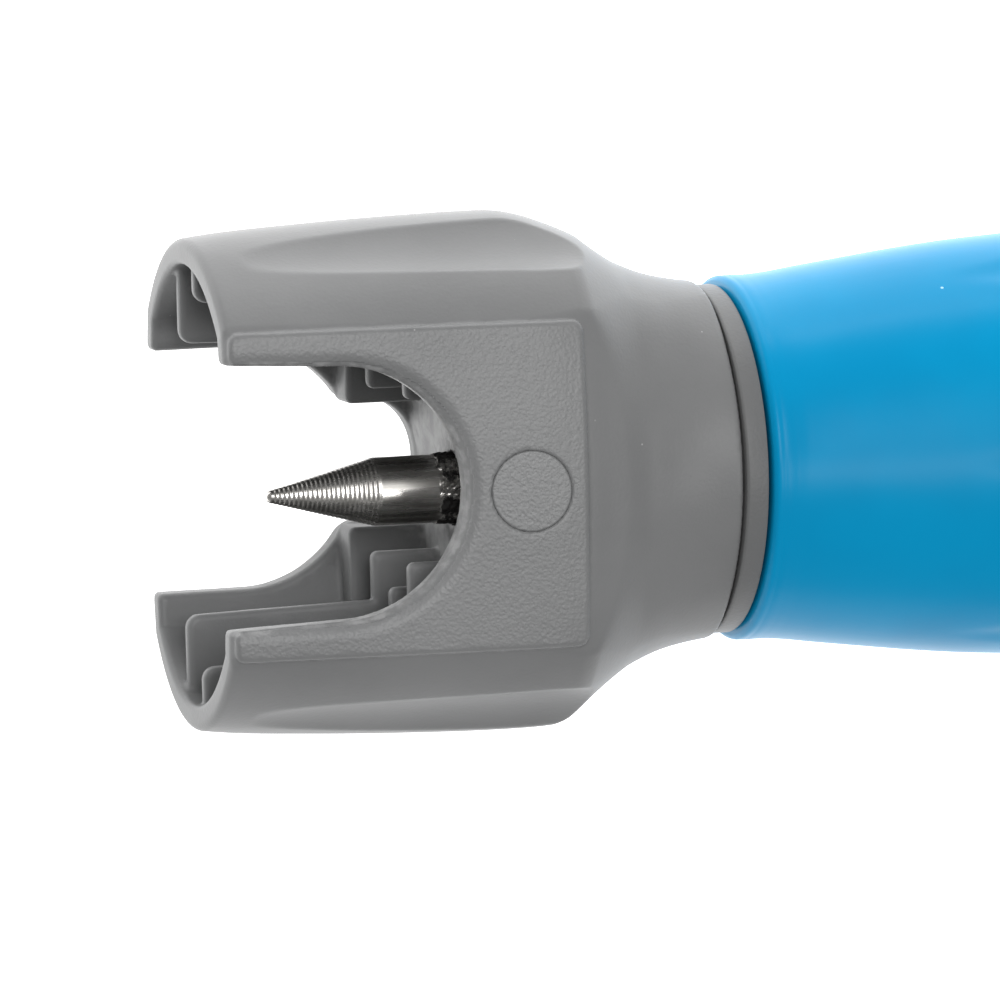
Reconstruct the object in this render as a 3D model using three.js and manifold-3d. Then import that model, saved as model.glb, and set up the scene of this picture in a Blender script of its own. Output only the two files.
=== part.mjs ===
// Hand punch for drip-irrigation tubing, lying on its flank.
// Frame: millimetres, X along the tool with the butt toward +X and the steel point toward -X,
// Y across the jaws, Z up through the two flanks. The origin is the centre of the flat butt face.
import * as THREE from 'three';
import { mergeVertices } from 'three/addons/utils/BufferGeometryUtils.js';
import Module from 'manifold-3d';

const wasm = await Module();
wasm.setup();

// ---- driving dimensions --------------------------------------------------------------------
const handleLength = 105;          // seam between collar and grip to the butt face
const clearance = 0.3;             // gap kept between touching pieces

// the saddle that the tubing sits in
const mouthHalf = 9;               // half width of the mouth: 18 mm for half-inch drip tubing
const seatRadius = 8.65;           // round end of the near saddle
const seatCentre = -29.95;         // its centre, measured from the seam
const farRadius = 8.45;            // round end of the far saddle
const farCentre = -31.5;
const slotHalf = 4.2;              // half width of the slot that runs on from the far saddle
const slotBottom = -18.8;          // deepest point of that slot

// the head, measured from the seam (all s values are)
const headFront = -37.95;
const headRear = -1.9;
const wall = 1.75;                 // shell thickness of the jaws
const cavityBack = -15.2;
const panelHalf = 11.15;           // half height of the raised flank panels
const panelFront = -37.45;
const panelRear = -12.85;
const panelProud = 0.5;
const webFace = -19.05;            // flat face that the steel point comes out of

// the steel point
const pinOffset = -1.1;            // the point sits a little off the head's centre line
const pinRadius = 2.36;
const knurlRadius = 2.5;
const pinTip = -32.4;
const pinConeEnd = -24.7;
const knurlFront = -20.6;
const pinRear = -13.9;

// cross dowel and the round plug over it
const dowelAt = -16.88;
const dowelOffset = -0.3;
const dowelRadius = 1.2;
const dowelEnd = 9.9;              // under its plug
const dowelDeep = -7.5;            // blind end of the dowel
const plugRadius = 2.78;
const plugInner = 10.3;

// swivel between head and handle
const journalRadius = 6.7;
const journalFront = -12.2;
const boreRadius = journalRadius + clearance;
const boreBottom = journalFront - clearance;
const collarRadius = 12.1;
const collarFront = -1.6;
const ringAt = -10.1;              // middle of the retaining ring
const ringHalf = 0.5;
const oRingAt = -5.8;
const oRingTube = 0.8;
const washerRadius = 10.2;
const washerThick = 0.7;

// handle
const spineRadius = 9.2;
const spineEnd = 90;
const insertStart = 80;
const insertRadius = 3.2;
const screwRadius = 1.7;
const pocketStart = 93;
const pocketRadius = 10.2;
const sleeveEnd = 101.7;
const faceRadius = 12;

const round = 32;                  // sides of the large round shapes
const small = 16;                  // sides of the small ones

const material = (color, roughness, metalness) => new THREE.MeshStandardMaterial({ color, roughness, metalness });
const greyPlastic = () => material(0x7d7e7f, 0.5, 0);
const bluePlastic = () => material(0x0095c7, 0.3, 0);
const steel = () => material(0xa8a5a0, 0.3, 1);
const brass = () => material(0xb08d4a, 0.35, 1);
const rubber = () => material(0x1b1b1b, 0.7, 0);
const acetal = () => material(0xe6e4dc, 0.5, 0);

const seamX = -handleLength;
const at = (s) => seamX + s;

// ---- small helpers -------------------------------------------------------------------------
function solid(geometry) {
  const bare = geometry.index ? geometry.toNonIndexed() : geometry.clone();
  bare.deleteAttribute('normal');
  bare.deleteAttribute('uv');
  const merged = mergeVertices(bare, 1e-4);
  return new wasm.Manifold(new wasm.Mesh({
    numProp: 3,
    vertProperties: new Float32Array(merged.attributes.position.array),
    triVerts: new Uint32Array(merged.index.array),
  }));
}

function geometryOf(body) {
  const mesh = body.getMesh();
  const geometry = new THREE.BufferGeometry();
  geometry.setAttribute('position', new THREE.BufferAttribute(new Float32Array(mesh.vertProperties), 3));
  geometry.setIndex(new THREE.BufferAttribute(new Uint32Array(mesh.triVerts), 1));
  geometry.computeVertexNormals();
  return geometry;
}

// A closed loft along X through ellipses: each station is [s, half size in Y, half size in Z].
// A station may add a flank depth and the radius of that flank's crown, which cut the ellipse off in Z.
function loft(stations, sides = round) {
  const positions = [];
  const faces = [];
  for (const [s, halfY, halfZ, flank = halfZ, crown = 0] of stations) {
    for (let i = 0; i < sides; i += 1) {
      const turn = (2 * Math.PI * i) / sides;
      const y = halfY * Math.cos(turn);
      const limit = crown ? flank - (y * y) / 2 / crown : flank;
      const z = halfZ * Math.sin(turn);
      positions.push(at(s), y, Math.sign(z) * Math.min(Math.abs(z), Math.max(limit, 0.5)));
    }
  }
  const last = stations.length - 1;
  for (let k = 0; k < last; k += 1) {
    for (let i = 0; i < sides; i += 1) {
      const j = (i + 1) % sides;
      const a = k * sides + i;
      const b = k * sides + j;
      faces.push(a, b, a + sides, b, b + sides, a + sides);
    }
  }
  for (let i = 1; i < sides - 1; i += 1) {
    faces.push(0, i + 1, i);
    faces.push(last * sides, last * sides + i, last * sides + i + 1);
  }
  const geometry = new THREE.BufferGeometry();
  geometry.setAttribute('position', new THREE.Float32BufferAttribute(positions, 3));
  geometry.setIndex(faces);
  return solid(geometry);
}

// A solid of revolution about X: each outline point is [s, radius], first and last on the axis.
function turned(outline, sides = small, offsetY = 0) {
  const points = outline.map(([s, radius]) => new THREE.Vector2(radius, at(s)));
  const geometry = new THREE.LatheGeometry(points, sides);
  geometry.rotateZ(-Math.PI / 2);
  geometry.translate(0, offsetY, 0);
  return solid(geometry);
}

const rod = (start, end, radius, sides = small, offsetY = 0) => (
  turned([[start, 0], [start, radius], [end, radius], [end, 0]], sides, offsetY)
);

const tube = (start, end, outer, inner, sides = small) => (
  rod(start, end, outer, sides).subtract(rod(start - 1, end + 1, inner, sides))
);

// An outline drawn in X and Y, carried from one Z to another.
function plate(shape, low, high, curveSegments = 14) {
  const geometry = new THREE.ExtrudeGeometry(shape, { depth: high - low, bevelEnabled: false, curveSegments });
  geometry.translate(0, 0, low);
  return solid(geometry);
}

function rectangle(startS, endS, lowY, highY) {
  const shape = new THREE.Shape();
  shape.moveTo(at(startS), lowY);
  shape.lineTo(at(endS), lowY);
  shape.lineTo(at(endS), highY);
  shape.lineTo(at(startS), highY);
  shape.closePath();
  return shape;
}

function bar(radius, s, low, high, sides = small) {
  const shape = new THREE.Shape();
  shape.absarc(at(s), dowelOffset, radius, 0, 2 * Math.PI);
  return plate(shape, low, high, sides);
}

// ---- head ----------------------------------------------------------------------------------
// Outside of the head: an oval barrel with crowned flanks, a shoulder, then a waisted neck.
// Each row is [s, half size in Y, half size in Z, flank depth, radius of the flank's crown].
const headStations = [
  [headFront, 16.45, 13.5, 10.6, 86], [-37.5, 16.88, 13.9, 10.95, 86], [-35.9, 17.08, 13.95, 11.05, 86],
  [-29.9, 17.5, 14, 11.25, 86], [-22.8, 17.82, 14.25, 11.6, 86], [-17, 17.95, 14.65, 11.93, 86],
  [-14.2, 17.85, 14.85, 12.1, 86], [-13.1, 17.64, 14.9, 12.08, 86], [-12.2, 17.25, 14.85, 12.03, 80],
  [-11, 16.5, 14.25, 11.85, 62], [-9.9, 15.7, 13.7, 11.75, 48], [-8.8, 14.88, 13.2, 11.65, 40],
  [-7.7, 14.17, 12.75, 11.6, 32], [-5.6, 13.23, 12.12, 11.7, 21], [-3.4, 12.65, 12.05, 12.05, 14],
  [headRear - 0.6, 12.45, 12.25], [headRear, 12.15, 12],
];

const grown = (stations, growY, growZ, growFlank = growZ) => stations.map(([s, y, z, flank, crown]) => (
  flank ? [s, y + growY, z + growZ, flank + growFlank, crown] : [s, y + growY, z + growZ]
));

// The saddle in the near flank: sides that close in a little from the mouth, and a round end.
function saddleOutline() {
  const front = at(headFront - 6);
  const shape = new THREE.Shape();
  shape.moveTo(front, -mouthHalf - 0.2);
  shape.lineTo(at(seatCentre), -seatRadius);
  shape.absarc(at(seatCentre), 0, seatRadius, -Math.PI / 2, Math.PI / 2, false);
  shape.lineTo(front, mouthHalf + 0.2);
  shape.closePath();
  return shape;
}

// The far flank has a slightly smaller saddle, and a slot that runs on from its middle.
function slotOutline() {
  const front = at(headFront - 6);
  const endCentre = slotBottom - 3;
  const meet = Math.asin(slotHalf / farRadius);
  const shape = new THREE.Shape();
  shape.moveTo(front, -farRadius);
  shape.lineTo(at(farCentre), -farRadius);
  shape.absarc(at(farCentre), 0, farRadius, -Math.PI / 2, -meet, false);
  shape.lineTo(at(endCentre), -slotHalf);
  shape.absellipse(at(endCentre), 0, 3, slotHalf, -Math.PI / 2, Math.PI / 2, false, 0);
  shape.lineTo(at(farCentre) + farRadius * Math.cos(meet), slotHalf);
  shape.absarc(at(farCentre), 0, farRadius, meet, Math.PI / 2, false);
  shape.lineTo(front, farRadius);
  shape.closePath();
  return shape;
}

// One stiffening rib inside a jaw: low along the jaw, then a step up toward the centre line.
function ribOutline(side, edge, rise, stepAt, front) {
  const high = side * 20;
  const shape = new THREE.Shape();
  shape.moveTo(at(front), high);
  shape.lineTo(at(front), side * edge);
  shape.lineTo(at(stepAt - 0.6), side * edge);
  shape.lineTo(at(stepAt), side * rise);
  shape.lineTo(at(cavityBack + 1), side * rise);
  shape.lineTo(at(cavityBack + 1), high);
  shape.closePath();
  return shape;
}

// Flank panels: a rounded rectangle standing a little proud of the barrel.
function panelOutline() {
  const corner = 1.2;
  const shape = new THREE.Shape();
  shape.moveTo(at(panelFront + corner), -panelHalf);
  shape.lineTo(at(panelRear), -panelHalf);
  shape.lineTo(at(panelRear), panelHalf);
  shape.lineTo(at(panelFront + corner), panelHalf);
  shape.absarc(at(panelFront + corner), panelHalf - corner, corner, Math.PI / 2, Math.PI, false);
  shape.absarc(at(panelFront + corner), -panelHalf + corner, corner, Math.PI, 1.5 * Math.PI, false);
  shape.closePath();
  return shape;
}

function jawRibs() {
  const rows = [
    { low: 7.5, high: 10.5, edge: 9.8, rise: 8, stepAt: -23.7 },
    { low: 4.15, high: 5.25, edge: 12.8, rise: 5.7, stepAt: -23.7 },
    { low: -0.05, high: 1.05, edge: 12.4, rise: 7.7, stepAt: -23.9 },
    { low: -4.45, high: -3.35, edge: 9.3, rise: 5.7, stepAt: -24 },
    { low: -10.5, high: -7.15, edge: 12.4, rise: 4.4, stepAt: -24.6 },
  ];
  const ribs = [];
  for (const { low, high, edge, rise, stepAt } of rows) {
    for (const side of [-1, 1]) {
      const outline = ribOutline(side, edge, rise, stepAt, headFront + 0.6);
      ribs.push(plate(outline, low, high));
    }
  }
  return ribs;
}

function saddleHead() {
  const deep = 20;
  const farFace = -3.7;
  const outer = loft(headStations);
  const [, frontY, frontZ, frontFlank, crown] = headStations[1];
  const cavityFront = [headFront - 1, frontY - wall, frontZ - wall, frontFlank - wall, crown];
  const inner = grown(headStations.slice(1), -wall, -wall).filter(([s]) => s < cavityBack);
  const cavity = loft([cavityFront, ...inner, [cavityBack, 17.9 - wall, 14.8 - wall, 12 - wall, crown]]);
  let head = outer.subtract(cavity);

  // raised panels follow the flanks' own crown
  const swollen = loft(grown(headStations, 0.6, 0.6, panelProud));
  const panels = plate(panelOutline(), -deep, deep).intersect(swollen).subtract(outer);
  head = head.add(panels);

  // ribs, the web behind the point and the boss between the flanks
  const core = outer.intersect(loft(grown(headStations, -0.4, -0.4)));
  for (const rib of jawRibs()) {
    head = head.add(rib.intersect(core));
  }
  const web = plate(rectangle(webFace, cavityBack + 1, -6.5, 6.5), farFace, deep);
  head = head.add(web.intersect(core));
  const boss = plate(rectangle(slotBottom - 0.4, cavityBack + 1, -6.5, 6.5), -deep, deep);
  head = head.add(boss.intersect(core));

  // where the tubing sits
  head = head.subtract(plate(saddleOutline(), farFace, deep));
  head = head.subtract(plate(slotOutline(), -deep, farFace + 0.01));

  // bores: steel point, cross dowel, plugs
  head = head.subtract(rod(-24, pinRear + clearance, knurlRadius + clearance, small, pinOffset));
  head = head.subtract(bar(dowelRadius + clearance, dowelAt, dowelDeep - clearance, dowelEnd + 1));
  head = head.subtract(bar(plugRadius + clearance, dowelAt, plugInner - clearance, deep));

  // swivel bore with its ring groove and washer recess
  head = head.subtract(turned([
    [boreBottom, 0], [boreBottom, boreRadius],
    [ringAt - ringHalf - clearance, boreRadius], [ringAt - ringHalf - clearance, 7.9],
    [ringAt + ringHalf + clearance, 7.9], [ringAt + ringHalf + clearance, boreRadius],
    [headRear - washerThick - clearance, boreRadius], [headRear - washerThick - clearance, washerRadius + clearance],
    [headRear + 1, washerRadius + clearance], [headRear + 1, 0],
  ], round));
  return head;
}

function punchPin() {
  const outline = [
    [pinTip, 0], [pinTip + 0.08, 0.2], [pinTip + 0.3, 0.36], [pinConeEnd, pinRadius],
    [knurlFront, pinRadius], [knurlFront, knurlRadius], [pinRear, knurlRadius], [pinRear, 0],
  ];
  const hole = bar(dowelRadius + clearance, dowelAt, -5, 5);
  return turned(outline, small, pinOffset).subtract(hole);
}

const plugFace = 12.42;            // level with the panel there

const dowelPlug = () => bar(plugRadius, dowelAt, plugInner, plugFace);

// ---- swivel pieces -------------------------------------------------------------------------
function retainingRing() {
  const gap = plate(rectangle(ringAt - 1, ringAt + 1, 0, 10), -1.2, 1.2);
  return tube(ringAt - ringHalf, ringAt + ringHalf, 7.6, 6.2, round).subtract(gap);
}

function journalORing() {
  const geometry = new THREE.TorusGeometry(journalRadius - oRingTube, oRingTube, 10, round);
  geometry.rotateY(Math.PI / 2);
  geometry.translate(at(oRingAt), 0, 0);
  return solid(geometry);
}

function thrustWasher() {
  return tube(headRear - washerThick, headRear, washerRadius, boreRadius, round);
}

// ---- handle --------------------------------------------------------------------------------
// Spine section: round with two flats, so that the grip can't turn on it.
function spine(startS, endS, radius, flat) {
  const trim = plate(rectangle(startS - 1, endS + 1, -flat, flat), -radius - 1, radius + 1);
  return rod(startS, endS, radius, round).intersect(trim);
}

function handleCore() {
  const grooveHalf = oRingTube + 0.15;
  const front = turned([
    [journalFront, 0], [journalFront, journalRadius - 0.5], [journalFront + 0.5, journalRadius],
    [ringAt - ringHalf - clearance, journalRadius], [ringAt - ringHalf - clearance, 5.9],
    [ringAt + ringHalf + clearance, 5.9], [ringAt + ringHalf + clearance, journalRadius],
    [oRingAt - grooveHalf, journalRadius], [oRingAt - grooveHalf, 4.8],
    [oRingAt + grooveHalf, 4.8], [oRingAt + grooveHalf, journalRadius],
    [collarFront, journalRadius], [collarFront, collarRadius - 0.3], [collarFront + 0.3, collarRadius],
    [0, collarRadius], [0, 0],
  ], round);
  return front
    .add(spine(-0.5, spineEnd, spineRadius, spineRadius - 1.2))
    .subtract(rod(insertStart - clearance, spineEnd + 1, insertRadius + clearance))
    .subtract(rod(70, insertStart, screwRadius + clearance));
}

// Outside of the grip: a round lip, a swelling belly, a waist and a wider butt.
const gripStations = [
  [clearance, 12.4, 12.4], [0.7, 12.6, 12.6], [2.6, 12.6, 12.6], [3, 12.4, 12.4], [3.4, 12.7, 12.65],
  [6, 13.05, 12.85], [9.7, 13.55, 13], [13.4, 14.05, 13.2], [17, 14.45, 13.35], [21, 14.7, 13.5],
  [30, 15.2, 13.6], [38, 15.3, 13.6], [50, 15, 13.4], [64, 14.5, 13.1], [78, 14.5, 13],
  [90, 15.1, 13.2], [98, 15.4, 13.3], [sleeveEnd, 15.3, 13.2],
];

function gripSleeve() {
  const flat = spineRadius - 1.2 + clearance;
  return loft(gripStations)
    .subtract(spine(-1, spineEnd + clearance, spineRadius + clearance, flat))
    .subtract(rod(spineEnd - 1, pocketStart + 1, screwRadius + clearance + 0.1))
    .subtract(rod(pocketStart, sleeveEnd + 1, pocketRadius, round));
}

function coreScrew() {
  const headStart = pocketStart + 1.6;
  const drive = rod(headStart + 1.2, headStart + 5, 1.3, 6);
  return turned([
    [insertStart - 4, 0], [insertStart - 4, screwRadius], [headStart, screwRadius],
    [headStart, 3.4], [headStart + 2.2, 3.4], [headStart + 2.6, 3], [headStart + 2.6, 0],
  ]).subtract(drive);
}

const threadInsert = () => tube(insertStart, spineEnd - 1, insertRadius, screwRadius + clearance);
const screwWasher = () => tube(pocketStart + clearance, pocketStart + 1.3, 5, screwRadius + clearance);

function buttCap() {
  const plug = rod(98.6, 103, pocketRadius - clearance, round);
  const flange = loft([
    [sleeveEnd + clearance, 15.2, 13.1], [102.9, 15, 13], [104, 14.3, 12.5], [104.7, 13.2, 11.9],
    [handleLength, faceRadius, faceRadius - 0.6],
  ]);
  return flange.add(plug);
}

// ---- assembly ------------------------------------------------------------------------------
const tool = new THREE.Group();

function place(group, name, body, finish) {
  const mesh = new THREE.Mesh(geometryOf(body), finish);
  mesh.name = name;
  group.add(mesh);
}

const head = new THREE.Group();
place(head, 'saddle_head', saddleHead(), greyPlastic());
place(head, 'punch_pin', punchPin(), steel());
place(head, 'cross_dowel', bar(dowelRadius, dowelAt, dowelDeep, dowelEnd), steel());
place(head, 'dowel_plug', dowelPlug(), greyPlastic());
tool.add(head);

const handle = new THREE.Group();
place(handle, 'handle_core', handleCore(), greyPlastic());
place(handle, 'grip_sleeve', gripSleeve(), bluePlastic());
place(handle, 'retaining_ring', retainingRing(), steel());
place(handle, 'journal_o_ring', journalORing(), rubber());
place(handle, 'thrust_washer', thrustWasher(), acetal());
place(handle, 'thread_insert', threadInsert(), brass());
place(handle, 'core_screw', coreScrew(), steel());
place(handle, 'screw_washer', screwWasher(), steel());
place(handle, 'butt_cap', buttCap(), bluePlastic());
tool.add(handle);

export default tool;
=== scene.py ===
import math

import bpy
import numpy as np
from mathutils import Matrix, Vector


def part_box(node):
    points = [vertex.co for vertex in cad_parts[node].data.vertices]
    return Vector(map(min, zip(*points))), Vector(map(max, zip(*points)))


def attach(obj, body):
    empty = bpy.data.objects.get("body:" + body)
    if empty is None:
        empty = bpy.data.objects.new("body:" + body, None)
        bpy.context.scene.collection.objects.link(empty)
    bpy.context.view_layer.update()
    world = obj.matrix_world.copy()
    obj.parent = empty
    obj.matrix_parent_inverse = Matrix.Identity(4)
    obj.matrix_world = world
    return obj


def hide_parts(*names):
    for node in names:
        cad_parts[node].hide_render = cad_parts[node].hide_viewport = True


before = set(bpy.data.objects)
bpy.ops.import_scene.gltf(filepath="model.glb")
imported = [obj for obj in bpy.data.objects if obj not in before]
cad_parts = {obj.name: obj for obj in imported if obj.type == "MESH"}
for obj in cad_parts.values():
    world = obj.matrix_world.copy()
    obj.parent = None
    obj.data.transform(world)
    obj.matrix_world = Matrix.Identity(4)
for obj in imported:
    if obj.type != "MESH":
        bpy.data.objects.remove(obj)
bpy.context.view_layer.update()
mm = 0.001

# All piece sizes are in millimetres. s runs along the tool from the seam between collar and grip,
# negative toward the steel point, y goes across the jaws and z up through the flanks.
seamGap = 0.3
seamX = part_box("grip_sleeve")[0].x / mm - seamGap
pinBox = [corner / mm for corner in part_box("punch_pin")]
headBox = [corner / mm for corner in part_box("saddle_head")]
plugBox = [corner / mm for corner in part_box("dowel_plug")]
coreBox = [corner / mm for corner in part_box("handle_core")]
sleeveBox = [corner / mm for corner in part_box("grip_sleeve")]
pinY = (pinBox[0].y + pinBox[1].y) / 2
plugS = (plugBox[0].x + plugBox[1].x) / 2 - seamX
buttS = -seamX
headFront = headBox[0].x - seamX
plugY = (plugBox[0].y + plugBox[1].y) / 2


# Mesh helpers

def makePiece(name, points, faces, material, body, replaced=()):
    mesh = bpy.data.meshes.new(name)
    world = np.array(points, np.float64) * mm
    world[:, 0] += seamX * mm
    mesh.from_pydata(world.tolist(), [], faces if isinstance(faces, list) else faces.tolist())
    mesh.validate()
    mesh.polygons.foreach_set("use_smooth", np.ones(len(mesh.polygons), bool))
    mesh.materials.append(material)
    piece = bpy.data.objects.new(name, mesh)
    bpy.context.scene.collection.objects.link(piece)
    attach(piece, body)
    for node in replaced:
        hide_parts(node)
    return piece


# A cubic curve through knots, whose slope at each knot is the mean of its neighbours' slopes.
def smoothCurve(knots, x):
    xs, ys = np.array(knots, float).T
    slopes = np.gradient(ys, xs)
    i = np.clip(np.searchsorted(xs, x) - 1, 0, len(xs) - 2)
    width = xs[i + 1] - xs[i]
    t = np.clip((x - xs[i]) / width, 0, 1)
    a = (1 + 2 * t) * (1 - t) ** 2 * ys[i] + t * (1 - t) ** 2 * width * slopes[i]
    b = t * t * (3 - 2 * t) * ys[i + 1] + t * t * (t - 1) * width * slopes[i + 1]
    return a + b


# Points along a closed outline of (s, radius) corners, each edge cut into steps no longer than pitch.
# A corner is rounded by keeping a short distance from it on both sides.
def outlinePath(corners, pitch=0.8, ease=0.12):
    path = []
    corners = np.array(corners, float)
    for before, here, after in zip(np.roll(corners, 1, 0), corners, np.roll(corners, -1, 0)):
        inward = before - here
        onward = after - here
        easeIn = min(ease, np.linalg.norm(inward) * 0.4)
        easeOut = min(ease, np.linalg.norm(onward) * 0.4)
        start = here + inward / np.linalg.norm(inward) * easeIn
        end = here + onward / np.linalg.norm(onward) * easeOut
        bend = np.linspace(0, 1, 5)[:, None]
        path.extend((1 - bend) ** 2 * start + 2 * bend * (1 - bend) * here + bend ** 2 * end)
        nextStart = after - onward / np.linalg.norm(onward) * min(ease, np.linalg.norm(onward) * 0.4)
        steps = max(1, int(np.linalg.norm(nextStart - end) / pitch))
        path.extend(end + (nextStart - end) * np.linspace(0, 1, steps + 1)[1:-1, None])
    return np.array(path)


# Faces of a grid of rows by columns; each way may close on itself.
def gridFaces(rows, columns, closeRows=False, closeColumns=True):
    rowStarts = np.arange(rows - (not closeRows))
    columnStarts = np.arange(columns - (not closeColumns))
    i, j = np.meshgrid(rowStarts, columnStarts, indexing="ij")
    nextI = (i + 1) % rows
    nextJ = (j + 1) % columns
    corners = [i * columns + j, nextI * columns + j, nextI * columns + nextJ, i * columns + nextJ]
    return np.stack(corners, -1).reshape(-1, 4)


# A closed ring shape: the (s, radius) outline is carried round the tool's axis,
# and shape(s, radius, angle) gives y and z for each grid point.
def revolve(path, sides, shape=None):
    angle = np.arange(sides) * 2 * math.pi / sides
    s = np.repeat(path[:, :1], sides, 1)
    radius = np.repeat(path[:, 1:], sides, 1)
    turn = np.repeat(angle[None], len(path), 0)
    if shape:
        s, y, z = shape(s, radius, turn)
    else:
        y, z = radius * np.cos(turn), radius * np.sin(turn)
    points = np.stack([s, y, z], -1).reshape(-1, 3)
    return points, gridFaces(len(path), sides, closeRows=True)[:, ::-1]


# A solid of revolution whose first and last outline points lie on the axis; the poles are fans.
def turnedSolid(path, sides, shape=None):
    points, _ = revolve(path[1:-1], sides, shape)
    rows = len(path) - 2
    faces = gridFaces(rows, sides)[:, ::-1].tolist()
    first = len(points)
    ends = [[path[0, 0], 0, 0], [path[-1, 0], 0, 0]]
    points = np.vstack([points, ends])
    for j in range(sides):
        k = (j + 1) % sides
        faces.append([first, k, j])
        faces.append([first + 1, (rows - 1) * sides + j, (rows - 1) * sides + k])
    return points, faces


# Material node groups shared by several finishes

def newGroup(name, inputs, outputs):
    group = bpy.data.node_groups.new(name, "ShaderNodeTree")
    for label, kind, value in inputs:
        socket = group.interface.new_socket(label, in_out="INPUT", socket_type=kind)
        if value is not None:
            socket.default_value = value
    for label, kind in outputs:
        group.interface.new_socket(label, in_out="OUTPUT", socket_type=kind)
    return group, group.nodes.new("NodeGroupInput"), group.nodes.new("NodeGroupOutput")


def noiseNode(nodes, links, vector, scale, detail=3.0, roughness=0.55):
    noise = nodes.new("ShaderNodeTexNoise")
    noise.inputs["Scale"].default_value = scale
    noise.inputs["Detail"].default_value = detail
    noise.inputs["Roughness"].default_value = roughness
    links.new(vector, noise.inputs["Vector"])
    return noise


def mathNode(nodes, links, operation, a, b=None, c=None):
    node = nodes.new("ShaderNodeMath")
    node.operation = operation
    for socket, value in zip(node.inputs, (a, b, c)):
        if value is None:
            continue
        if isinstance(value, (int, float)):
            socket.default_value = value
        else:
            links.new(value, socket)
    return node.outputs[0]


def rangeNode(nodes, links, value, low, high, toLow=0.0, toHigh=1.0):
    node = nodes.new("ShaderNodeMapRange")
    node.interpolation_type = "SMOOTHSTEP"
    for label, number in (("From Min", low), ("From Max", high), ("To Min", toLow), ("To Max", toHigh)):
        node.inputs[label].default_value = number
    links.new(value, node.inputs["Value"])
    return node.outputs[0]


# Moulded grain: a fine noise and a coarser pebble, added into one height and one tint.
def grainGroup():
    inputs = [("Fine", "NodeSocketFloat", 1400.0), ("Pebble", "NodeSocketFloat", 420.0),
              ("Pebble Share", "NodeSocketFloat", 0.5)]
    outputs = [("Height", "NodeSocketFloat"), ("Tint", "NodeSocketFloat")]
    group, start, end = newGroup("mouldGrain", inputs, outputs)
    nodes, links = group.nodes, group.links
    place = nodes.new("ShaderNodeTexCoord").outputs["Object"]
    fine = noiseNode(nodes, links, place, 1400.0, 2.0)
    links.new(start.outputs["Fine"], fine.inputs["Scale"])
    pebble = nodes.new("ShaderNodeTexVoronoi")
    pebble.feature = "SMOOTH_F1"
    links.new(place, pebble.inputs["Vector"])
    links.new(start.outputs["Pebble"], pebble.inputs["Scale"])
    pebbles = mathNode(nodes, links, "MULTIPLY", pebble.outputs["Distance"], start.outputs["Pebble Share"])
    height = mathNode(nodes, links, "ADD", fine.outputs["Fac"], pebbles)
    broad = noiseNode(nodes, links, place, 90.0, 4.0)
    links.new(height, end.inputs["Height"])
    links.new(broad.outputs["Fac"], end.inputs["Tint"])
    return group


# Specks: rare small spots where a cell noise falls below a threshold.
def speckGroup():
    inputs = [("Scale", "NodeSocketFloat", 500.0), ("Amount", "NodeSocketFloat", 0.06)]
    outputs = [("Mask", "NodeSocketFloat")]
    group, start, end = newGroup("surfaceSpecks", inputs, outputs)
    nodes, links = group.nodes, group.links
    place = nodes.new("ShaderNodeTexCoord").outputs["Object"]
    cells = nodes.new("ShaderNodeTexVoronoi")
    links.new(place, cells.inputs["Vector"])
    links.new(start.outputs["Scale"], cells.inputs["Scale"])
    near = mathNode(nodes, links, "LESS_THAN", cells.outputs["Distance"], start.outputs["Amount"])
    patches = noiseNode(nodes, links, place, 140.0, 1.0)
    some = rangeNode(nodes, links, patches.outputs["Fac"], 0.52, 0.6)
    links.new(mathNode(nodes, links, "MULTIPLY", near, some), end.inputs["Mask"])
    return group


grain = grainGroup()
specks = speckGroup()


def newMaterial(name, roughness, metallic=0.0, **sockets):
    material = bpy.data.materials.new(name)
    material.use_nodes = True
    shader = material.node_tree.nodes["Principled BSDF"]
    shader.inputs["Roughness"].default_value = roughness
    shader.inputs["Metallic"].default_value = metallic
    for label, value in sockets.items():
        shader.inputs[label.replace("_", " ")].default_value = value
    return material, material.node_tree.nodes, material.node_tree.links, shader


def useGroup(nodes, group, **values):
    node = nodes.new("ShaderNodeGroup")
    node.node_tree = group
    for label, value in values.items():
        node.inputs[label.replace("_", " ")].default_value = value
    return node


def mixColour(nodes, links, mask, a, b):
    node = nodes.new("ShaderNodeMix")
    node.data_type = "RGBA"
    for index, value in ((6, a), (7, b)):
        if isinstance(value, tuple):
            node.inputs[index].default_value = (*value, 1)
        else:
            links.new(value, node.inputs[index])
    if isinstance(mask, (int, float)):
        node.inputs[0].default_value = mask
    else:
        links.new(mask, node.inputs[0])
    return node.outputs[2]


def bumpNode(nodes, links, height, distance, strength=1.0):
    bump = nodes.new("ShaderNodeBump")
    bump.inputs["Strength"].default_value = strength
    bump.inputs["Distance"].default_value = distance
    links.new(height, bump.inputs["Height"])
    return bump.outputs["Normal"]


greyFinish = {"light": (0.178, 0.18, 0.181), "dark": (0.16, 0.162, 0.163),
              "roughness": 0.42, "grainDepth": 0.00004}


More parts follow.
